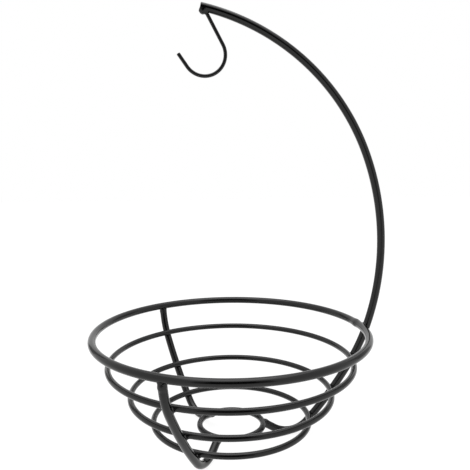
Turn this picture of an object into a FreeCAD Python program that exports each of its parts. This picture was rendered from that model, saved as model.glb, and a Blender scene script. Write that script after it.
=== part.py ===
import FreeCAD, Part
import math
import os

# Fruit bowl with a banana hanger, bent and welded from round steel bar and wire.
# Millimetres. The table is z = 0 and the bowl's axis is the Z axis.
# The arm rises on the +X side, and its tip comes back over the middle of the bowl.

# Thickness of the stock
rim_wire = 7.0
bar = 7.2
ring_wire = 5.4
hook_wire = 3.2

# Rings, each height taken at the middle of its wire
rim_outer_diameter = 254.0
rim_height = 102.0
upper_ring_below_rim = 26.6
middle_ring_height = 45.6
lower_ring_height = 20.2
centre_ring_radius = 29.5

# Ribs: the angle from the arm to each short rib, then along the middle of the bar
# the return leg, the foot bend, the wall's wide bend and the closer bend that starts below the rim
rib_angle = 120.0
leg_slope = 30.5
foot_circle_radius = 53.2
foot_bend_radius = 25.2
wall_bend_radius = 350.0
rim_bend_radius = 171.9
rim_bend_length_below = 31.7

# Arm, above the rim: a wide bend up the side, then a closer one over the bowl
arm_side_radius = 234.7
arm_shoulder_slope = 111.4
arm_top_radius = 201.7
arm_tip_slope = 169.0

# Hook: straight shank, round bottom and straight tip
hook_setback = 6.0
shank_slope = 62.0
shank_length = 29.9
hook_bend_radius = 18.2
hook_turn = 173.0
hook_tip_length = 13.2

# Welds: how deep the stock melts into its neighbour, and the beads left around it
ring_melt = 0.7
rim_melt = 2.0
end_melt = 0.6
crossing_bead = 2.0
crossing_bead_shift = 3.3
crossing_bead_outset = 0.4
rim_bead = 3.9
rim_bead_distance = 3.1
rim_bead_shift = 1.1
leg_bead = 4.0
hook_bead = 3.8
hook_bead_distance = 2.1
hook_bead_depth = 1.8
hook_root_depth = 0.3
closing_bead = 0.6
closing_bead_angle = 5.0

# Filed edge at the cut ends of the arm and the hook
cut_end_round = 0.5

rim_radius = rim_outer_diameter / 2 - rim_wire / 2


def at(r, z):
    """Point of the arm's plane at radius r and height z."""
    return FreeCAD.Vector(r, 0, z)


def round_the_axis(shape, angle):
    """Copy of a shape turned about the bowl's axis."""
    turned = shape.copy()
    turned.rotate(FreeCAD.Vector(0, 0, 0), FreeCAD.Vector(0, 0, 1), angle)
    return turned


def disc(diameter, middle, along, start):
    """Round section of a bar, its edge starting on the side that start points to."""
    edge = Part.makeCircle(diameter / 2)
    edge.Placement = FreeCAD.Placement(middle, FreeCAD.Rotation(start, along.cross(start), along, "ZXY"))
    return Part.Face(Part.Wire([edge]))


class BentLine:
    """Middle line of a bent bar, drawn run by run in the plane of radius and height."""

    def __init__(self, r, z, slope):
        self.start = (r, z, math.radians(slope))
        self.r, self.z, self.slope = self.start
        self.edges = []

    def run(self, length):
        """Straight run."""
        r = self.r + length * math.cos(self.slope)
        z = self.z + length * math.sin(self.slope)
        self.edges.append(Part.LineSegment(at(self.r, self.z), at(r, z)).toShape())
        self.r, self.z = r, z

    def centre(self, radius):
        """Centre of a bend that starts here; a negative radius bends clockwise."""
        return self.r - radius * math.sin(self.slope), self.z + radius * math.cos(self.slope)

    def bend(self, radius, angle):
        """Bend by angle in radians, anticlockwise where radius and angle are positive."""
        cr, cz = self.centre(radius)

        def point(part):
            s = self.slope + part * angle
            return at(cr + radius * math.sin(s), cz - radius * math.cos(s))

        end = point(1.0)
        self.edges.append(Part.Arc(at(self.r, self.z), point(0.5), end).toShape())
        self.r, self.z, self.slope = end.x, end.z, self.slope + angle

    def bend_to_slope(self, radius, slope):
        """Bend until the line has this slope in degrees."""
        self.bend(radius, math.radians(slope) - self.slope)

    def bend_to_point(self, r, z):
        """Single bend that leaves along the line and ends at a point."""
        chord = math.hypot(r - self.r, z - self.z)
        turn = 2 * (math.atan2(z - self.z, r - self.r) - self.slope)
        self.bend(chord / (2 * math.sin(turn / 2)), turn)

    def from_end(self, back, outward):
        """Point this far back from the end of the line and out to the outer side of its bends."""
        along_r, along_z = math.cos(self.slope), math.sin(self.slope)
        return self.r - back * along_r + outward * along_z, self.z - back * along_z - outward * along_r

    def length(self):
        return sum(edge.Length for edge in self.edges)

    def sweep(self, diameter):
        """Round bar along the line, its seam on the outer side, away from the rings."""
        r, z, slope = self.start
        along_r, along_z = math.cos(slope), math.sin(slope)
        end = disc(diameter, at(r, z), at(along_r, along_z), at(along_z, -along_r))
        return Part.Wire(self.edges).makePipe(end)


def wire_ring(radius, height, diameter):
    """Ring of round wire, its seams inside the wire and half way between two ribs."""
    section = disc(diameter, at(radius, height), FreeCAD.Vector(0, 1, 0), at(-1, 0))
    ring = section.revolve(FreeCAD.Vector(0, 0, 0), FreeCAD.Vector(0, 0, 1), 360)
    return round_the_axis(ring, rib_angle / 2)


def bead(r, z, radius, angle=0.0, sideways=0.0):
    """Ball of weld metal, leaned so that its poles miss the cuts that the bars make through it."""
    middle = at(r, z) + FreeCAD.Vector(0, sideways, 0)
    return round_the_axis(Part.makeSphere(radius, middle, FreeCAD.Vector(1, 0.3, -1)), angle)


def round_cut_end(solid, r, z, radius):
    """Filed edge round the cut end whose middle is at r, z."""
    middle = at(r, z)
    edges = [e for e in solid.Edges if e.Closed]
    return solid.makeFillet(radius, [min(edges, key=lambda e: (e.CenterOfMass - middle).Length)])


# Ribs from the centre ring outward. The return leg points at the middle of the centre ring's wire.
leg = math.radians(leg_slope)
leg_foot_r = foot_circle_radius - foot_bend_radius * math.sin(leg)
leg_foot_z = bar / 2 + foot_bend_radius * (1 - math.cos(leg))
leg_reach = (leg_foot_r - centre_ring_radius) / math.cos(leg)
centre_ring_height = leg_foot_z + leg_reach * math.sin(leg)
leg_gap = ring_wire / 2 - end_melt


def foot_and_wall(wall_slope):
    """Leg, foot and wall as far as the rim bend, with the middle of the wall's bend."""
    line = BentLine(centre_ring_radius + leg_gap * math.cos(leg),
                    centre_ring_height - leg_gap * math.sin(leg), -leg_slope)
    line.run(leg_reach - leg_gap)
    line.bend_to_slope(foot_bend_radius, wall_slope)
    middle = line.centre(wall_bend_radius)
    top_slope = math.acos((middle[1] - rim_height + rim_bend_length_below) / wall_bend_radius)
    line.bend(wall_bend_radius, top_slope - line.slope)
    return line, middle


# The foot bend ends at the slope that carries the bar past the rim with the two melted together.
lean = (bar + rim_wire) / 2 - rim_melt
shallow, steep = 15.0, 85.0
for _ in range(50):
    wall_slope = (steep + shallow) / 2
    hanger, wall_centre = foot_and_wall(wall_slope)
    rim_bend_centre = hanger.centre(rim_bend_radius)
    to_rim = (rim_radius - rim_bend_centre[0], rim_height - rim_bend_centre[1])
    if math.hypot(*to_rim) > rim_bend_radius - lean:
        steep = wall_slope
    else:
        shallow = wall_slope

# Hanger rod: on past the rim, up the side and over the bowl
rim_slope = math.atan2(to_rim[0], -to_rim[1])
hanger.bend(rim_bend_radius, rim_slope - hanger.slope)
rim_touch = hanger.from_end(0.0, -bar / 2)
hanger.bend_to_slope(arm_side_radius, arm_shoulder_slope)
hanger.bend_to_slope(arm_top_radius, arm_tip_slope)
hanger_bar = round_cut_end(hanger.sweep(bar), hanger.r, hanger.z, cut_end_round)

# Short rib: the same wall, then a bend that brings its cut end upright under the rim.
short, _ = foot_and_wall(wall_slope)
short.bend_to_point(rim_radius, rim_height - rim_wire / 2 + end_melt)
short_bar = short.sweep(bar)


def seat_inside_wall(height):
    """Ring radius at this height, and the way outward to the rib's middle line."""
    centre, radius = wall_centre, wall_bend_radius
    if height > rim_height - rim_bend_length_below:
        centre, radius = rim_bend_centre, rim_bend_radius
    inset = radius - ((bar + ring_wire) / 2 - ring_melt)
    out_z = (height - centre[1]) / inset
    out_r = math.sqrt(1 - out_z ** 2)
    return centre[0] + inset * out_r, out_r, out_z


# Rings: the three wall rings lie on the inner side of the ribs.
ring_heights = {"upper": rim_height - upper_ring_below_rim,
                "middle": middle_ring_height,
                "lower": lower_ring_height}
rings = {}
for name, height in ring_heights.items():
    rings[name + "_ring"] = wire_ring(seat_inside_wall(height)[0], height, ring_wire)
rings["centre_ring"] = wire_ring(centre_ring_radius, centre_ring_height, ring_wire)
rim_ring = wire_ring(rim_radius, rim_height, rim_wire)
rim_ring = rim_ring.fuse(bead(rim_radius, rim_height, rim_wire / 2 + closing_bead, closing_bead_angle))
rings["rim_ring"] = rim_ring

# Each bar is hollowed where the rings sink into it.
ring_list = [rings[name] for name in rings]
parts = dict(rings)
parts["hanger_rod"] = hanger_bar.cut(ring_list)
parts["rear_rib"] = round_the_axis(short_bar, rib_angle).cut(ring_list)
parts["front_rib"] = round_the_axis(short_bar, -rib_angle).cut(ring_list)
raw_bars = [hanger_bar, round_the_axis(short_bar, rib_angle), round_the_axis(short_bar, -rib_angle)]

# Banana hook, butted against the underside of the arm a little way in from its end
hook_top_r, hook_top_z = hanger.from_end(hook_setback, -bar / 2)
buried = hook_wire / 2 + hook_root_depth
shank = math.radians(shank_slope)
hook = BentLine(hook_top_r - buried * math.cos(shank), hook_top_z + buried * math.sin(shank), -shank_slope)
hook.run(buried + shank_length)
hook.bend(-hook_bend_radius, -math.radians(hook_turn))
hook.run(hook_tip_length)
hook_bar = round_cut_end(hook.sweep(hook_wire), hook.r, hook.z, cut_end_round)
parts["banana_hook"] = hook_bar.cut(hanger_bar)


def around(balls, *bars):
    """Beads with the bars that run through them taken out, one solid each."""
    cut = [ball.cut(list(bars)) for ball in balls]
    return Part.makeCompound([max(c.Solids, key=lambda s: s.Volume) for c in cut])


# Beads in the corners where the rings cross the ribs, one on each side of the rib
for name, height in ring_heights.items():
    radius, out_r, out_z = seat_inside_wall(height)
    reach = ring_wire / 2 + crossing_bead_outset
    corner_r, corner_z = radius + reach * out_r, height + reach * out_z
    balls = [bead(corner_r, corner_z, crossing_bead, turn, side * crossing_bead_shift)
             for turn in (0.0, rib_angle, -rib_angle) for side in (1, -1)]
    parts[name + "_ring_welds"] = around(balls, rings[name + "_ring"], *raw_bars)

# Beads round the ends of the legs at the centre ring
reach = ring_wire / 2
balls = [bead(centre_ring_radius + reach * math.cos(leg), centre_ring_height - reach * math.sin(leg),
              leg_bead, turn) for turn in (0.0, rib_angle, -rib_angle)]
parts["centre_ring_welds"] = around(balls, rings["centre_ring"], *raw_bars)

# Beads at the rim: one between rim and arm, and one outside the top of each short rib
balls = [bead(rim_touch[0], rim_touch[1], rim_bead)]
below_r, below_z = short.from_end(rim_bead_distance, rim_bead_shift)
balls += [bead(below_r, below_z, rim_bead, turn) for turn in (rib_angle, -rib_angle)]
parts["rim_welds"] = around(balls, rim_ring, *raw_bars)

# Lump of weld that holds the hook to the end of the arm
lump_r, lump_z = hanger.from_end(hook_bead_distance, -hook_bead_depth)
parts["hook_weld"] = around([bead(lump_r, lump_z, hook_bead)], hanger_bar, hook_bar)

os.makedirs("parts", exist_ok=True)
for name, shape in parts.items():
    if shape.ShapeType == "Compound" and len(shape.Solids) == 1:
        shape = shape.Solids[0]
    shape.exportStep("parts/" + name + ".step")
    print(name, len(shape.Solids), "solids", round(shape.Volume, 1), "mm3", shape.isValid())

bar_area = math.pi * bar ** 2 / 4
print("hanger rod before cuts", round(hanger_bar.Volume / (bar_area * hanger.length()), 5))
print("short rib before cuts", round(short_bar.Volume / (bar_area * short.length()), 5))
print("wall slope", round(wall_slope, 2), "tip", round(hanger.r, 2), round(hanger.z, 2),
      "height", round(hanger_bar.BoundBox.ZMax, 2), "reach", round(hanger_bar.BoundBox.XMax, 2))
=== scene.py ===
"""Looks of a welded fruit bowl with a banana hanger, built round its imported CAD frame."""

import math

import bmesh
import bpy
import numpy as np
from bpy.props import FloatProperty, FloatVectorProperty, PointerProperty, StringProperty
from bpy.types import Operator, Panel, PropertyGroup
from mathutils import Matrix, Vector, noise


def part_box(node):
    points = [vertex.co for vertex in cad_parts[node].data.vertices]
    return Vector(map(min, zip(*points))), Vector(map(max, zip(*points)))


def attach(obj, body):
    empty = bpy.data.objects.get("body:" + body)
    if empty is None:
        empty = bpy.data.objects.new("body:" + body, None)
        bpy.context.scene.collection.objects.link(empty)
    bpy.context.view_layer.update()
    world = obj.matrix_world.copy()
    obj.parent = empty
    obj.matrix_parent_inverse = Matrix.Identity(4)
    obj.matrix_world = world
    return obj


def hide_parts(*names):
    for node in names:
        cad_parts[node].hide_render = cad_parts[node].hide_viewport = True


bl_info = {
    "name": "Fruit bowl with banana hanger",
    "version": (1, 0, 0),
    "blender": (4, 5, 0),
    "location": "3D View > Sidebar > Fruit Bowl",
    "description": "Bends, welds and coats a steel wire fruit bowl with an arched banana hanger",
    "category": "Add Mesh",
}

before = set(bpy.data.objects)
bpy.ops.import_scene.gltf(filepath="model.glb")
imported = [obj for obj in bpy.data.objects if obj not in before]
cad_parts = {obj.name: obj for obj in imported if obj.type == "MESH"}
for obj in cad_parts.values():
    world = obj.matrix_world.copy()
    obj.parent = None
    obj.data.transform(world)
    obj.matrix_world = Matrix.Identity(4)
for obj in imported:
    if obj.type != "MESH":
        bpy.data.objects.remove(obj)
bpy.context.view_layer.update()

MM = 0.001
BODY = "root"
# How deep a cut end melts into the ring that it meets
END_MELT = 0.6 * MM
# Points round a bar, steps round a ring and rings of points in a filed edge
AROUND, RING_STEPS, EDGE_STEPS = 40, 240, 5
# Half of the length of the rim's closing weld, as an angle seen from the bowl's axis
CLOSING_SPREAD = 0.035
# How much a weld bead is lumpy and rippled, as shares of its radius, and how far apart its ripples lie
LUMPS, RIPPLES, RIPPLE_STEP = 0.06, 0.025, 1.0 * MM
# Only the part of a bar that lies this near a bead melts into it
MELT_REACH = 20 * MM
# Directions that the ripples of a bead run across
SIDEWAYS, UPWARD = (0.0, 1.0, 0.0), (0.0, 0.0, 1.0)
# Scale of a bead's lumps, and where in the noise each further bead takes its own from
LUMP_SCALE, LUMP_STEP, LUMP_LEVEL = 1.7, (3.1, 1.7), 0.4
# How finely a bead's ball is divided, how often the way out to its surface is halved,
# and how many fillets its metal runs out past its radius
BEAD_DIVISIONS, BEAD_HALVINGS, RUN_OUT = 4, 18, 1.3
# Spacing of the points along a run and along a bend, and the fewest spaces in each
RUN_STEP, BEND_STEP = 3 * MM, math.radians(1.2)
RUN_LEAST, BEND_LEAST = 2, 6
# Range in which the wall's slope at the foot is looked for, and how often it is halved
SHALLOW_WALL, STEEP_WALL, WALL_HALVINGS = math.radians(15.0), math.radians(85.0), 40
# How much rougher the coating is on weld metal than on a bar, and how much deeper its peel
WELD_DULLER, WELD_PEEL = 0.06, 1.5
# Refractive index of baked powder, and the stretch of the peel's noise that changes the roughness
COATING_IOR, PEEL_LOW, PEEL_HIGH = 1.42, 0.3, 0.7
RIB_ANGLES = {"rear": math.radians(120.0), "front": math.radians(-120.0)}


# Sizes and colours that a user would change


def ring_from_frame(node):
    """Radius, height and wire of a ring, read from the box of its CAD node."""
    low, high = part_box(node)
    wire = high.z - low.z
    return (high.y - low.y - wire) / 2, (low.z + high.z) / 2, wire


def length(name, description, metres):
    return FloatProperty(name=name, description=description, default=metres, min=0.0,
                         precision=5, unit="LENGTH", subtype="DISTANCE")


def angle(name, description, degrees):
    return FloatProperty(name=name, description=description, default=math.radians(degrees),
                         unit="ROTATION", subtype="ANGLE")


UPPER = ring_from_frame("upper_ring")
MIDDLE = ring_from_frame("middle_ring")
LOWER = ring_from_frame("lower_ring")
CENTRE = ring_from_frame("centre_ring")
RIM_LOW, RIM_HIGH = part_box("rim_ring")


class RingSizes(PropertyGroup):
    """Rings of the bowl, measured to the middle of their wire."""
    rim_wire: length("Rim wire", "Diameter of the wire at the mouth", 7.0 * MM)
    ring_wire: length("Ring wire", "Diameter of the wire of the other rings", UPPER[2])
    rim_diameter: length("Rim diameter", "Width of the mouth, outside the wire", RIM_HIGH.y - RIM_LOW.y)
    rim_height: length("Rim height", "Height of the rim above the table", (RIM_LOW.z + RIM_HIGH.z) / 2)
    upper_radius: length("Upper ring radius", "Radius of the ring below the rim", UPPER[0])
    upper_height: length("Upper ring height", "Height of the ring below the rim", UPPER[1])
    middle_radius: length("Middle ring radius", "Radius of the middle ring", MIDDLE[0])
    middle_height: length("Middle ring height", "Height of the middle ring", MIDDLE[1])
    lower_radius: length("Lower ring radius", "Radius of the ring above the feet", LOWER[0])
    lower_height: length("Lower ring height", "Height of the ring above the feet", LOWER[1])
    centre_radius: length("Centre ring radius", "Radius of the small ring at the bottom", CENTRE[0])
    centre_height: length("Centre ring height", "Height of the small ring", CENTRE[1])
    closing_bead: length("Closing bead", "How far the rim's closing weld stands proud", 0.6 * MM)
    closing_angle: angle("Closing weld", "Place of the rim's closing weld, from the arm", 5.0)


class BarSizes(PropertyGroup):
    """Bent bars: the hanger rod and the two short ribs."""
    bar: length("Bar", "Diameter of the bar", 7.2 * MM)
    leg_slope: angle("Leg slope", "Fall of the leg from the centre ring to the foot", 30.5)
    foot_radius: length("Foot circle", "Distance of the feet from the bowl's axis", 53.2 * MM)
    foot_bend: length("Foot bend", "Bend radius of the foot", 25.2 * MM)
    wall_bend: length("Wall bend", "Bend radius of the wall", 350.0 * MM)
    rim_bend_below: length("Rim bend below", "Height of the rim above the start of its bend", 31.7 * MM)
    rim_bend: length("Rim bend", "Bend radius of the hanger rod at the rim", 171.9 * MM)
    rim_melt: length("Rim melt", "How far the hanger rod and the rim melt into each other", 2.0 * MM)
    side_bend: length("Arm side bend", "Bend radius up the side of the arm", 234.7 * MM)
    shoulder_slope: angle("Shoulder slope", "Slope where the arm turns over the bowl", 111.4)
    top_bend: length("Arm top bend", "Bend radius of the arm over the bowl", 201.7 * MM)
    tip_slope: angle("Tip slope", "Slope of the arm at its end", 169.0)
    end_round: length("End rounding", "Filed edge round a cut end", 0.5 * MM)


class HookSizes(PropertyGroup):
    """Thin wire hook under the end of the arm."""
    wire: length("Hook wire", "Diameter of the hook's wire", 3.2 * MM)
    setback: length("Setback", "Distance of the hook from the arm's end", 6.0 * MM)
    root: length("Root", "How deep the shank's cut end sits in the weld of the arm", 0.3 * MM)
    shank_slope: angle("Shank slope", "Fall of the straight shank", 62.0)
    shank: length("Shank", "Length of the straight shank", 29.9 * MM)
    bend: length("Hook bend", "Bend radius of the hook", 18.2 * MM)
    turn: angle("Hook turn", "How far the hook bends round", 173.0)
    tip: length("Hook tip", "Length of the straight tip", 13.2 * MM)


class WeldSizes(PropertyGroup):
    """Weld beads, each a ball of metal that runs out onto the bars."""
    crossing: length("Crossing bead", "Radius of a bead in the corner of a crossing", 1.3 * MM)
    crossing_shift: length("Crossing shift", "Distance of a crossing's bead from the rib's middle", 3.3 * MM)
    outset: length("Outset", "Distance of a crossing's bead out of the ring's wire", 0.1 * MM)
    leg: length("Leg bead", "Radius of the bead between a leg and the centre ring", 3.7 * MM)
    rim: length("Rim bead", "Radius of the bead between a rib and the rim", 3.35 * MM)
    rim_below: length("Rim bead below", "Distance of a short rib's bead from the rib's end", 3.1 * MM)
    rim_outset: length("Rim bead outset", "Distance of that bead outward from the rib's middle", 0.8 * MM)
    hook: length("Hook bead", "Radius of the bead that holds the hook", 3.3 * MM)
    hook_back: length("Hook bead back", "Distance of the hook's bead from the arm's end", 3.0 * MM)
    hook_below: length("Hook bead below", "Distance of the hook's bead below the arm's middle", 2.8 * MM)
    fillet: length("Fillet", "How softly a bead runs out onto the bars", 1.2 * MM)


class CoatingLook(PropertyGroup):
    """Black coating on bars, rings and welds."""
    black: StringProperty(name="Black", description="Darkest coating colour, sRGB hex", default="030303")
    grey: StringProperty(name="Grey", description="Lightest coating colour, sRGB hex", default="080809")
    roughness: FloatProperty(name="Roughness", description="Roughness of the coating",
                             default=0.14, min=0.0, max=1.0, subtype="FACTOR")
    spread: FloatProperty(name="Roughness spread", description="How far the roughness goes up and down",
                          default=0.04, min=0.0, max=0.2, subtype="FACTOR")
    drift: length("Drift", "Width of the slow changes from black to grey", 30 * MM)
    peel: length("Orange peel", "Width of the coating's shallow waves", 2.4 * MM)
    peel_depth: length("Peel depth", "Depth of the coating's shallow waves", 0.014 * MM)
    grit: length("Grit", "Width of the powder's grains, coarser than life so that they show", 0.5 * MM)
    grit_depth: FloatProperty(name="Grit depth", description="Depth of the powder's grains",
                              default=0.0025 * MM, min=0.0, precision=6, unit="LENGTH", subtype="DISTANCE")


class StageLook(PropertyGroup):
    """Lights, floor and camera."""
    fill: FloatProperty(name="Fill", description="Brightness of the room's own light", default=0.55, min=0.0)
    softbox: FloatProperty(name="Softbox", description="Power of the overhead softbox", default=3.0,
                           min=0.0, unit="POWER", subtype="POWER")
    silk: FloatProperty(name="Silk", description="Power of the wide silk over the stage", default=8.5,
                        min=0.0, unit="POWER", subtype="POWER")
    camera_place: FloatVectorProperty(name="Camera", description="Where the camera stands",
                                      default=(-0.05633, -0.48958, 0.24966), unit="LENGTH",
                                      subtype="TRANSLATION", precision=5)
    camera_turn: angle("Camera turn", "Turn of the view from +Y towards +X", 7.085)
    camera_tilt: angle("Camera tilt", "Fall of the view below level", 6.786)
    camera_roll: angle("Camera roll", "Roll of the camera", -0.372)
    lens: FloatProperty(name="Lens", description="Focal length on a 36 mm sensor", default=42.374,
                        min=1.0, unit="CAMERA")


# Bent bars


class BentLine:
    """Middle line of a bent bar in the plane of radius and height, sampled with its slope."""

    def __init__(self, r, z, slope):
        self.r, self.z, self.slope = r, z, slope
        self.stations = [(r, z, slope)]

    def _add(self, count, place):
        self.stations += [place(k / count) for k in range(1, count + 1)]
        self.r, self.z, self.slope = self.stations[-1]

    def run(self, distance):
        r, z, s = self.r, self.z, self.slope
        self._add(max(RUN_LEAST, round(distance / RUN_STEP)),
                  lambda t: (r + t * distance * math.cos(s), z + t * distance * math.sin(s), s))

    def centre(self, radius):
        return self.r - radius * math.sin(self.slope), self.z + radius * math.cos(self.slope)

    def bend(self, radius, turn):
        (cr, cz), s = self.centre(radius), self.slope
        self._add(max(BEND_LEAST, round(abs(turn) / BEND_STEP)),
                  lambda t: (cr + radius * math.sin(s + t * turn), cz - radius * math.cos(s + t * turn),
                             s + t * turn))

    def bend_to_slope(self, radius, slope):
        self.bend(radius, slope - self.slope)

    def bend_to_point(self, r, z):
        chord = math.hypot(r - self.r, z - self.z)
        turn = 2 * (math.atan2(z - self.z, r - self.r) - self.slope)
        self.bend(chord / (2 * math.sin(turn / 2)), turn)

    def from_end(self, back, outward):
        """Point this far back from the end and out to the outer side of the bends."""
        along_r, along_z = math.cos(self.slope), math.sin(self.slope)
        return self.r - back * along_r + outward * along_z, self.z - back * along_z - outward * along_r


def leg_foot_and_wall(rings, bars, wall_slope):
    """The lines that the three ribs share: leg, foot bend and wall."""
    slope = bars.leg_slope
    gap = rings.ring_wire / 2 - END_MELT
    line = BentLine(rings.centre_radius + gap * math.cos(slope),
                    rings.centre_height - gap * math.sin(slope), -slope)
    foot_start = bars.foot_radius - bars.foot_bend * math.sin(slope)
    line.run((foot_start - line.r) / math.cos(slope))
    line.bend_to_slope(bars.foot_bend, wall_slope)
    below = rings.rim_height - bars.rim_bend_below
    line.bend_to_slope(bars.wall_bend, math.acos((line.centre(bars.wall_bend)[1] - below) / bars.wall_bend))
    return line


def rim_middle(rings):
    return rings.rim_diameter / 2 - rings.rim_wire / 2


def slope_past_the_rim(rings, bars):
    """Slope at which the wall leaves the foot so that the hanger rod passes close by the rim."""
    lean = (bars.bar + rings.rim_wire) / 2 - bars.rim_melt
    shallow, steep = SHALLOW_WALL, STEEP_WALL
    for _ in range(WALL_HALVINGS):
        slope = (shallow + steep) / 2
        r, z = leg_foot_and_wall(rings, bars, slope).centre(bars.rim_bend)
        away = math.hypot(rim_middle(rings) - r, rings.rim_height - z)
        shallow, steep = (shallow, slope) if away > bars.rim_bend - lean else (slope, steep)
    return slope


def hanger_line(rings, bars):
    """Line of the hanger rod, and the point where its inner side meets the rim."""
    line = leg_foot_and_wall(rings, bars, slope_past_the_rim(rings, bars))
    r, z = line.centre(bars.rim_bend)
    line.bend_to_slope(bars.rim_bend, math.atan2(rim_middle(rings) - r, z - rings.rim_height))
    touch = line.from_end(0.0, -bars.bar / 2)
    line.bend_to_slope(bars.side_bend, bars.shoulder_slope)
    line.bend_to_slope(bars.top_bend, bars.tip_slope)
    return line, touch


def short_rib_line(rings, bars):
    line = leg_foot_and_wall(rings, bars, slope_past_the_rim(rings, bars))
    line.bend_to_point(rim_middle(rings), rings.rim_height - rings.rim_wire / 2 + END_MELT)
    return line


def hook_line(arm_end, bars, hook):
    top_r, top_z = arm_end.from_end(hook.setback, -bars.bar / 2)
    buried = hook.wire / 2 + hook.root
    line = BentLine(top_r - buried * math.cos(hook.shank_slope),
                    top_z + buried * math.sin(hook.shank_slope), -hook.shank_slope)
    line.run(buried + hook.shank)
    line.bend(-hook.bend, -hook.turn)
    line.run(hook.tip)
    return line


# Meshes


def loft(name, sections, closed):
    """Mesh through round sections; an open one is closed with a fan at each end."""
    rows, around = len(sections), len(sections[0])
    vertices = [tuple(p) for section in sections for p in section]
    faces = []
    for i in range(rows if closed else rows - 1):
        here, there = i * around, (i + 1) % rows * around
        for k in range(around):
            nxt = (k + 1) % around
            faces.append((here + k, here + nxt, there + nxt, there + k))
    if not closed:
        for row, order in ((0, -1), (rows - 1, 1)):
            middle = len(vertices)
            vertices.append(tuple(np.mean(sections[row], axis=0)))
            for k in range(around):
                edge = (row * around + k, row * around + (k + 1) % around)[::order]
                faces.append((*edge, middle))
    mesh = bpy.data.meshes.new(name)
    mesh.from_pydata(vertices, [], faces)
    mesh.update()
    return mesh


def round_section(middle, outward, sideways, radius):
    turns = np.linspace(0.0, 2 * math.pi, AROUND, endpoint=False)[:, None]
    return middle + radius * (np.cos(turns) * outward + np.sin(turns) * sideways)


def bar_mesh(name, line, diameter, turn, end_round):
    """Round bar along a bent line turned about the bowl's axis, with its cut ends filed."""
    across = np.array((math.cos(turn), math.sin(turn), 0.0))
    sideways = np.array((-math.sin(turn), math.cos(turn), 0.0))
    up = np.array((0.0, 0.0, 1.0))
    places = []
    for r, z, slope in line.stations:
        places.append((r * across + z * up, math.sin(slope) * across - math.cos(slope) * up,
                       math.cos(slope) * across + math.sin(slope) * up))
    radius = diameter / 2

    def filed_end(place, inward):
        """Sections of a cut end, from full thickness out to its face."""
        middle, outward, along = place
        return [round_section(middle + inward * along * end_round * (1 - math.sin(a)), outward, sideways,
                              radius - end_round * (1 - math.cos(a)))
                for a in np.linspace(0.0, math.pi / 2, EDGE_STEPS)]

    sections = filed_end(places[0], 1)[::-1]
    sections += [round_section(middle, outward, sideways, radius) for middle, outward, _ in places[1:-1]]
    sections += filed_end(places[-1], -1)
    return loft(name, sections, closed=False)


def ring_mesh(name, radius, height, wire, swelling=0.0, place=0.0):
    """Ring of round wire; swelling is how far its closing weld stands proud at one place."""
    sections = []
    for k in range(RING_STEPS):
        turn = 2 * math.pi * (k + 0.5) / RING_STEPS
        outward = np.array((math.cos(turn), math.sin(turn), 0.0))
        away = (turn - place + math.pi) % (2 * math.pi) - math.pi
        thick = wire / 2 + swelling * math.exp(-((away / CLOSING_SPREAD) ** 2))
        sections.append(round_section(outward * radius + np.array((0.0, 0.0, height)), outward,
                                      np.array((0.0, 0.0, 1.0)), thick))
    return loft(name, sections, closed=True)


def ring_gap(points, radius, height, wire):
    """Distance of points from the surface of a ring."""
    return np.hypot(np.hypot(points[:, 0], points[:, 1]) - radius, points[:, 2] - height) - wire / 2


def bar_gap(points, line, diameter, turn):
    """Distance of points from the surface of a bent bar, which stops at its cut ends."""
    path = np.array([(r, z) for r, z, _ in line.stations])
    spot = np.stack([points[:, 0] * math.cos(turn) + points[:, 1] * math.sin(turn), points[:, 2]], 1)
    close = np.flatnonzero(np.linalg.norm(path - spot.mean(axis=0), axis=1) < MELT_REACH)
    cut_ends = [(k, way) for k, way in ((0, -1), (len(path) - 1, 1)) if k in close]
    path = path[close[0]:close[-1] + 1]
    aside = points[:, 1] * math.cos(turn) - points[:, 0] * math.sin(turn)
    step = path[1:] - path[:-1]
    away = spot[:, None] - path[None, :-1]
    share = np.clip((away * step).sum(2) / (step ** 2).sum(1), 0.0, 1.0)
    nearest = np.linalg.norm(away - share[..., None] * step, axis=2).min(axis=1)
    gap = np.hypot(nearest, aside) - diameter / 2
    for k, way in cut_ends:
        r, z, slope = line.stations[k]
        past = (spot[:, 0] - r) * math.cos(slope) + (spot[:, 1] - z) * math.sin(slope)
        gap = np.maximum(gap, way * past)
    return gap


def melted(a, b, width):
    """Smaller of two distances, rounded where they are alike, as weld metal fills a corner."""
    share = np.clip(0.5 + (b - a) / (2 * width), 0.0, 1.0)
    return b + (a - b) * share - width * share * (1 - share)


def weld_bead(mesh, middle, ripple_way, radius, fillet, joined, seed):
    """Adds one bead: a rippled ball of metal that runs out smoothly onto the bars that it joins."""
    middle, ripple_way = Vector(middle), Vector(ripple_way).normalized()
    made = bmesh.ops.create_icosphere(mesh, subdivisions=BEAD_DIVISIONS, radius=1.0)["verts"]
    ways = np.array([v.co[:] for v in made])
    ways /= np.linalg.norm(ways, axis=1)[:, None]
    start = Vector((seed * LUMP_STEP[0], seed * LUMP_STEP[1], LUMP_LEVEL))
    lumps = np.array([noise.noise(Vector(way) * LUMP_SCALE + start) for way in ways])
    core = np.array(middle)
    reach = radius + RUN_OUT * fillet
    low, high = np.zeros(len(ways)), np.full(len(ways), reach)
    for _ in range(BEAD_HALVINGS):
        half = (low + high) / 2
        points = core + ways * half[:, None]
        ripple = np.sin((points - core) @ np.array(ripple_way) / RIPPLE_STEP * 2 * math.pi)
        metal = half - radius * (1 + LUMPS * lumps + RIPPLES * ripple)
        for gap in joined:
            metal = melted(metal, gap(points), fillet)
        low, high = np.where(metal < 0, half, low), np.where(metal < 0, high, half)
    for vertex, way, far in zip(made, ways, (low + high) / 2):
        vertex.co = core + way * far


# Materials


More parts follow.
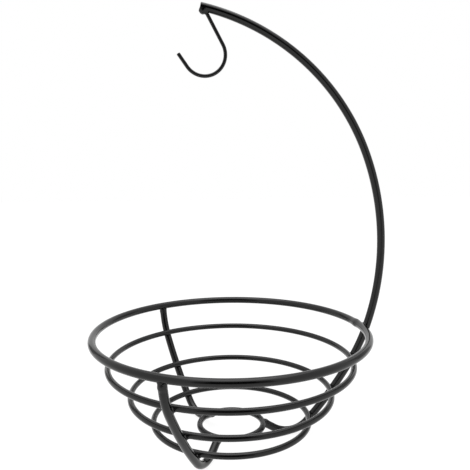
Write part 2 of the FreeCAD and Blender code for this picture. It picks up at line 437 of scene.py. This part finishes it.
def linear(hex_text):
    """Linear colour of an sRGB hex value."""
    parts = [int(hex_text[k:k + 2], 16) / 255 for k in (0, 2, 4)]
    return [p / 12.92 if p <= 0.04045 else ((p + 0.055) / 1.055) ** 2.4 for p in parts] + [1.0]


def add(tree, kind, inputs=None, **settings):
    """Adds a node with its settings; an input is a value or a socket to link from."""
    made = tree.nodes.new(kind)
    for key, value in settings.items():
        setattr(made, key, value)
    for key, value in (inputs or {}).items():
        if isinstance(value, bpy.types.NodeSocket):
            tree.links.new(value, made.inputs[key])
        else:
            made.inputs[key].default_value = value
    return made


def new_material(name):
    material = bpy.data.materials.get(name) or bpy.data.materials.new(name)
    material.use_nodes = True
    material.node_tree.nodes.clear()
    return material, material.node_tree


def powder_coated_steel(look, name="powder_coated_steel_bar", duller=0.0, peel_times=1.0):
    """Mild steel bar, sprayed with black powder and baked: deep black, satin, with faint orange peel."""
    material, tree = new_material(name)
    place = add(tree, "ShaderNodeTexCoord").outputs["Object"]
    # Powder thickness drifts over a few centimetres, which shows as a slow change of black
    drift = add(tree, "ShaderNodeTexNoise", {"Vector": place, "Scale": 1 / look.drift, "Detail": 2.0})
    colour = add(tree, "ShaderNodeMix", {"Factor": drift.outputs["Fac"], 6: linear(look.black),
                                         7: linear(look.grey)}, data_type="RGBA")
    # Orange peel: shallow waves left as the powder melts together
    peel = add(tree, "ShaderNodeTexNoise", {"Vector": place, "Scale": 1 / look.peel, "Detail": 1.0})
    # Grit: powder grains that didn't melt quite flat
    grit = add(tree, "ShaderNodeTexNoise", {"Vector": place, "Scale": 1 / look.grit, "Detail": 2.0})
    waves = add(tree, "ShaderNodeBump", {"Height": peel.outputs["Fac"], "Strength": 1.0,
                                         "Distance": look.peel_depth * peel_times})
    grains = add(tree, "ShaderNodeBump", {"Height": grit.outputs["Fac"], "Strength": 1.0,
                                          "Distance": look.grit_depth, "Normal": waves.outputs["Normal"]})
    gloss = add(tree, "ShaderNodeMapRange", {"Value": peel.outputs["Fac"],
                                             "From Min": PEEL_LOW, "From Max": PEEL_HIGH,
                                             "To Min": look.roughness + duller - look.spread,
                                             "To Max": look.roughness + duller + look.spread})
    surface = add(tree, "ShaderNodeBsdfPrincipled",
                  {"Base Color": colour.outputs[2], "Roughness": gloss.outputs["Result"],
                   "IOR": COATING_IOR, "Metallic": 0.0, "Normal": grains.outputs["Normal"]})
    add(tree, "ShaderNodeOutputMaterial", {"Surface": surface.outputs["BSDF"]})
    return material


def powder_coated_weld(look):
    """Weld metal under the same powder: thicker in the hollows, so rounder and a little duller."""
    return powder_coated_steel(look, "powder_coated_weld_metal", WELD_DULLER, WELD_PEEL)


def seen_rays(tree):
    """1 for rays of the camera and of reflections, also through glass, and 0 where light is gathered."""
    path = add(tree, "ShaderNodeLightPath")
    some = add(tree, "ShaderNodeMath", {0: path.outputs["Is Camera Ray"], 1: path.outputs["Is Glossy Ray"]},
               operation="MAXIMUM")
    return add(tree, "ShaderNodeMath", {0: some.outputs[0], 1: path.outputs["Is Transmission Ray"]},
               operation="MAXIMUM").outputs[0]


def white_paper():
    """Matte background paper: plain white to the camera and in reflections, with the bowl's faint shadow."""
    material, tree = new_material("white_background_paper")
    matte = add(tree, "ShaderNodeBsdfDiffuse", {"Color": linear("F4F4F4"), "Roughness": 0.5})
    glow = add(tree, "ShaderNodeEmission", {"Color": linear("FFFFFF"), "Strength": PAPER_GLOW})
    faint = add(tree, "ShaderNodeBsdfDiffuse", {"Color": linear("808080")})
    white = add(tree, "ShaderNodeAddShader", {0: glow.outputs[0], 1: faint.outputs[0]})
    paper = add(tree, "ShaderNodeMixShader", {0: seen_rays(tree), 1: matte.outputs[0], 2: white.outputs[0]})
    add(tree, "ShaderNodeOutputMaterial", {"Surface": paper.outputs[0]})
    return material


def glowing_reflection_card(name, colour):
    """Card that glows evenly at its own tone though it is no lamp, as hung round a studio camera: a painted
    reflection for the coating.
    """
    material, tree = new_material(name)
    even = add(tree, "ShaderNodeEmission", {"Color": linear(colour), "Strength": 1.0})
    add(tree, "ShaderNodeOutputMaterial", {"Surface": even.outputs[0]})
    return material


# Operators


def place_piece(name, mesh, material, nodes):
    """Puts a coated piece in the scene in place of its CAD nodes."""
    mesh.shade_smooth()
    mesh.materials.clear()
    mesh.materials.append(material)
    piece = bpy.data.objects.new(name, mesh)
    bpy.context.scene.collection.objects.link(piece)
    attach(piece, BODY)
    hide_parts(*nodes)


class FRUITBOWL_OT_rings(Operator):
    """Bend and close the rim and the four rings of the bowl"""
    bl_idname = "fruit_bowl.rings"
    bl_label = "Rings"

    def execute(self, context):
        rings = context.scene.fruit_bowl_rings
        coat = powder_coated_steel(context.scene.fruit_bowl_coating)
        rim = ring_mesh("coated_rim_ring", rim_middle(rings), rings.rim_height, rings.rim_wire,
                        rings.closing_bead, rings.closing_angle)
        place_piece("coated_rim_ring", rim, coat, ["rim_ring"])
        for ring in ("upper", "middle", "lower", "centre"):
            name = f"coated_{ring}_ring"
            mesh = ring_mesh(name, getattr(rings, ring + "_radius"), getattr(rings, ring + "_height"),
                             rings.ring_wire)
            place_piece(name, mesh, coat, [ring + "_ring"])
        return {"FINISHED"}


class FRUITBOWL_OT_hanger_rod(Operator):
    """Bend the long bar that is leg, foot, wall and arm"""
    bl_idname = "fruit_bowl.hanger_rod"
    bl_label = "Hanger rod"

    def execute(self, context):
        scene = context.scene
        bars = scene.fruit_bowl_bars
        line, _ = hanger_line(scene.fruit_bowl_rings, bars)
        mesh = bar_mesh("coated_hanger_rod", line, bars.bar, 0.0, bars.end_round)
        place_piece("coated_hanger_rod", mesh, powder_coated_steel(scene.fruit_bowl_coating), ["hanger_rod"])
        return {"FINISHED"}


class FRUITBOWL_OT_short_ribs(Operator):
    """Bend the two short ribs that end under the rim"""
    bl_idname = "fruit_bowl.short_ribs"
    bl_label = "Short ribs"

    def execute(self, context):
        scene = context.scene
        bars = scene.fruit_bowl_bars
        coat = powder_coated_steel(scene.fruit_bowl_coating)
        for side, turn in RIB_ANGLES.items():
            line = short_rib_line(scene.fruit_bowl_rings, bars)
            mesh = bar_mesh(f"coated_{side}_rib", line, bars.bar, turn, bars.end_round)
            place_piece(f"coated_{side}_rib", mesh, coat, [side + "_rib"])
        return {"FINISHED"}


class FRUITBOWL_OT_banana_hook(Operator):
    """Bend the thin hook that hangs from the end of the arm"""
    bl_idname = "fruit_bowl.banana_hook"
    bl_label = "Banana hook"

    def execute(self, context):
        scene = context.scene
        bars, hook = scene.fruit_bowl_bars, scene.fruit_bowl_hook
        arm, _ = hanger_line(scene.fruit_bowl_rings, bars)
        mesh = bar_mesh("coated_banana_hook", hook_line(arm, bars, hook), hook.wire, 0.0, bars.end_round)
        place_piece("coated_banana_hook", mesh, powder_coated_steel(scene.fruit_bowl_coating),
                    ["banana_hook"])
        return {"FINISHED"}


class FRUITBOWL_OT_weld_beads(Operator):
    """Lay the weld beads that join rings, ribs, arm and hook"""
    bl_idname = "fruit_bowl.weld_beads"
    bl_label = "Weld beads"

    def execute(self, context):
        scene = context.scene
        rings, bars, welds = scene.fruit_bowl_rings, scene.fruit_bowl_bars, scene.fruit_bowl_welds
        self.coat = powder_coated_weld(scene.fruit_bowl_coating)
        self.fillet, self.seed = welds.fillet, 0
        arm, touch = hanger_line(rings, bars)
        short = short_rib_line(rings, bars)
        ribs = {0.0: arm, **{turn: short for turn in RIB_ANGLES.values()}}

        def bar_of(turn):
            return lambda points: bar_gap(points, ribs[turn], bars.bar, turn)

        def ring_of(radius, height, wire):
            return lambda points: ring_gap(points, radius, height, wire)

        reach = rings.ring_wire / 2 + welds.outset
        for name in ("upper", "middle", "lower"):
            radius, height = getattr(rings, name + "_radius"), getattr(rings, name + "_height")
            ring = ring_of(radius, height, rings.ring_wire)
            beads = []
            for turn, line in ribs.items():
                near = min(line.stations, key=lambda s: math.hypot(s[0] - radius, s[1] - height))
                out = (math.sin(near[2]), -math.cos(near[2]))
                beads += [((radius + reach * out[0], height + reach * out[1]), side * welds.crossing_shift,
                           turn, SIDEWAYS, welds.crossing, (ring, bar_of(turn))) for side in (1, -1)]
            self.lay(f"{name}_ring_weld_beads", name + "_ring_welds", beads)

        centre = ring_of(rings.centre_radius, rings.centre_height, rings.ring_wire)
        reach = rings.ring_wire / 2
        foot = (rings.centre_radius + reach * math.cos(bars.leg_slope),
                rings.centre_height - reach * math.sin(bars.leg_slope))
        self.lay("centre_ring_weld_beads", "centre_ring_welds",
                 [(foot, 0.0, turn, SIDEWAYS, welds.leg, (centre, bar_of(turn))) for turn in ribs])

        rim = ring_of(rim_middle(rings), rings.rim_height, rings.rim_wire)
        below = short.from_end(welds.rim_below, welds.rim_outset)
        beads = [(touch, 0.0, 0.0, SIDEWAYS, welds.rim, (rim, bar_of(0.0)))]
        beads += [(below, 0.0, turn, UPWARD, welds.rim, (rim, bar_of(turn)))
                  for turn in RIB_ANGLES.values()]
        self.lay("rim_weld_beads", "rim_welds", beads)

        hook = hook_line(arm, bars, scene.fruit_bowl_hook)
        lump = arm.from_end(welds.hook_back, -welds.hook_below)
        self.lay("hook_weld_bead", "hook_weld",
                 [(lump, 0.0, 0.0, SIDEWAYS, welds.hook,
                   (bar_of(0.0), lambda points: bar_gap(points, hook, scene.fruit_bowl_hook.wire, 0.0)))])
        return {"FINISHED"}

    def lay(self, name, node, beads):
        """Lays the beads of one CAD node as one piece."""
        mesh = bmesh.new()
        for (r, z), sideways, turn, ripple_way, radius, joined in beads:
            self.seed += 1
            spin = Matrix.Rotation(turn, 3, "Z")
            weld_bead(mesh, spin @ Vector((r, sideways, z)), spin @ Vector(ripple_way), radius,
                      self.fillet, joined, self.seed)
        made = bpy.data.meshes.new(name)
        mesh.to_mesh(made)
        mesh.free()
        place_piece(name, made, self.coat, [node])


# Brightness of the white background paper where it is seen, and the side of its square in metres
PAPER_GLOW, PAPER_SIDE = 0.9, 8.0
# Width of the camera's sensor in millimetres, and the range that it sees in metres
SENSOR_WIDTH, NEAREST_SEEN, FARTHEST_SEEN = 36.0, 0.01, 50.0
# Cards beside and behind the camera, outside its picture, that glow at their tone and show only in reflections,
# as painted reflections: name, middle, the two sides, tone
CARDS = (("right_card", (1.45, 0.65, 0.5), (0.0, 0.9, 0.0), (0.0, 0.0, 1.0), "BCBCBC"),
         ("left_card", (-1.05, 1.1, 0.5), (0.6, 0.0, 0.0), (0.0, 0.0, 1.0), "A4A4A4"),
         ("front_card", (-0.16, -1.35, 0.60), (1.5, 0.0, 0.0), (0.0, 0.0, 1.5), "989898"),
         ("black_card", (-0.14, -1.25, 0.84), (0.86, 0.0, 0.0), (0.0, 0.0, 1.22), "000000"))
# Lamps overhead: name, middle, what it is aimed at, side
SOFTBOX = ("overhead_softbox", (0.0, 0.1, 1.45), (0.0, 0.05, 0.1), 0.9)
SILK = ("overhead_silk", (0.0, -0.05, 1.50), (0.0, -0.05, 0.1), 1.7)


class FRUITBOWL_OT_stage(Operator):
    """Set up the paper, the cards, the lights and the camera"""
    bl_idname = "fruit_bowl.stage"
    bl_label = "Stage"

    def execute(self, context):
        scene, look = context.scene, context.scene.fruit_bowl_stage
        self.light_the_room(scene, look)
        self.sheet(scene, "paper_floor", (0.0, 0.0, 0.0), (PAPER_SIDE, 0.0, 0.0), (0.0, PAPER_SIDE, 0.0),
                   white_paper())
        # Each card glows at its tone: painted reflections, not matte cards under a lamp
        cards = [self.sheet(scene, name, middle, across, upward, glowing_reflection_card("matte_" + name, tone))
                 for name, middle, across, upward, tone in CARDS]
        # The glowing cards are painted reflections: they stand in for a studio that only the coating's
        # reflections meet
        for card in cards:
            card.visible_camera = card.visible_diffuse = card.visible_shadow = False
        self.lamp(scene, *SOFTBOX, look.softbox)
        self.lamp(scene, *SILK, look.silk)
        self.camera(scene, look)
        return {"FINISHED"}

    def light_the_room(self, scene, look):
        world = bpy.data.worlds.get("studio_room") or bpy.data.worlds.new("studio_room")
        world.use_nodes = True
        tree = world.node_tree
        tree.nodes.clear()
        gathered = add(tree, "ShaderNodeBackground", {"Color": linear("FFFFFF"), "Strength": look.fill})
        seen = add(tree, "ShaderNodeBackground", {"Color": linear("FFFFFF"), "Strength": 1.0})
        room = add(tree, "ShaderNodeMixShader", {0: seen_rays(tree), 1: gathered.outputs[0], 2: seen.outputs[0]})
        add(tree, "ShaderNodeOutputWorld", {"Surface": room.outputs[0]})
        scene.world = world
        scene.view_settings.view_transform = "Standard"

    def sheet(self, scene, name, middle, across, upward, material):
        """Flat card or paper of the stage, given by its middle and its two sides."""
        middle, across, upward = Vector(middle), Vector(across) / 2, Vector(upward) / 2
        corners = [middle + x * across + y * upward for x, y in ((-1, -1), (1, -1), (1, 1), (-1, 1))]
        mesh = bpy.data.meshes.new(name)
        mesh.from_pydata([tuple(corner) for corner in corners], [], [(0, 1, 2, 3)])
        mesh.materials.append(material)
        made = bpy.data.objects.new(name, mesh)
        scene.collection.objects.link(made)
        return made

    def lamp(self, scene, name, place, aim, side, power):
        light = bpy.data.lights.new(name, "AREA")
        light.shape, light.size, light.energy = "SQUARE", side, power
        made = bpy.data.objects.new(name, light)
        made.location = place
        made.rotation_euler = (Vector(aim) - Vector(place)).to_track_quat("-Z", "Y").to_euler()
        scene.collection.objects.link(made)

    def camera(self, scene, look):
        turn, tilt, roll = look.camera_turn, look.camera_tilt, look.camera_roll
        forward = Vector((math.sin(turn) * math.cos(tilt), math.cos(turn) * math.cos(tilt), -math.sin(tilt)))
        level = Vector((math.cos(turn), -math.sin(turn), 0.0))
        upright = level.cross(forward)
        right = math.cos(roll) * level + math.sin(roll) * upright
        up = math.cos(roll) * upright - math.sin(roll) * level
        data = bpy.data.cameras.new("studio_camera")
        data.sensor_width, data.lens = SENSOR_WIDTH, look.lens
        data.clip_start, data.clip_end = NEAREST_SEEN, FARTHEST_SEEN
        camera = bpy.data.objects.new("studio_camera", data)
        facing = Matrix((right, up, -forward)).transposed().to_4x4()
        camera.matrix_world = Matrix.Translation(look.camera_place) @ facing
        scene.collection.objects.link(camera)
        scene.camera = camera


class FRUITBOWL_PT_panel(Panel):
    """Steps that build the fruit bowl"""
    bl_label = "Fruit Bowl"
    bl_idname = "FRUITBOWL_PT_panel"
    bl_space_type = "VIEW_3D"
    bl_region_type = "UI"
    bl_category = "Fruit Bowl"

    def draw(self, context):
        for step in STEPS:
            self.layout.operator(step.bl_idname)


STEPS = (FRUITBOWL_OT_rings, FRUITBOWL_OT_hanger_rod, FRUITBOWL_OT_short_ribs, FRUITBOWL_OT_banana_hook,
         FRUITBOWL_OT_weld_beads, FRUITBOWL_OT_stage)
SETTINGS = {"fruit_bowl_rings": RingSizes, "fruit_bowl_bars": BarSizes, "fruit_bowl_hook": HookSizes,
            "fruit_bowl_welds": WeldSizes, "fruit_bowl_coating": CoatingLook, "fruit_bowl_stage": StageLook}


def register():
    for group in SETTINGS.values():
        bpy.utils.register_class(group)
    for name, group in SETTINGS.items():
        setattr(bpy.types.Scene, name, PointerProperty(type=group))
    for step in STEPS:
        bpy.utils.register_class(step)
    bpy.utils.register_class(FRUITBOWL_PT_panel)


def unregister():
    bpy.utils.unregister_class(FRUITBOWL_PT_panel)
    for step in reversed(STEPS):
        bpy.utils.unregister_class(step)
    for name, group in SETTINGS.items():
        delattr(bpy.types.Scene, name)
        bpy.utils.unregister_class(group)


def main():
    register()
    bpy.ops.fruit_bowl.rings()
    bpy.ops.fruit_bowl.hanger_rod()
    bpy.ops.fruit_bowl.short_ribs()
    bpy.ops.fruit_bowl.banana_hook()
    bpy.ops.fruit_bowl.weld_beads()
    bpy.ops.fruit_bowl.stage()


if __name__ == "__main__":
    main()
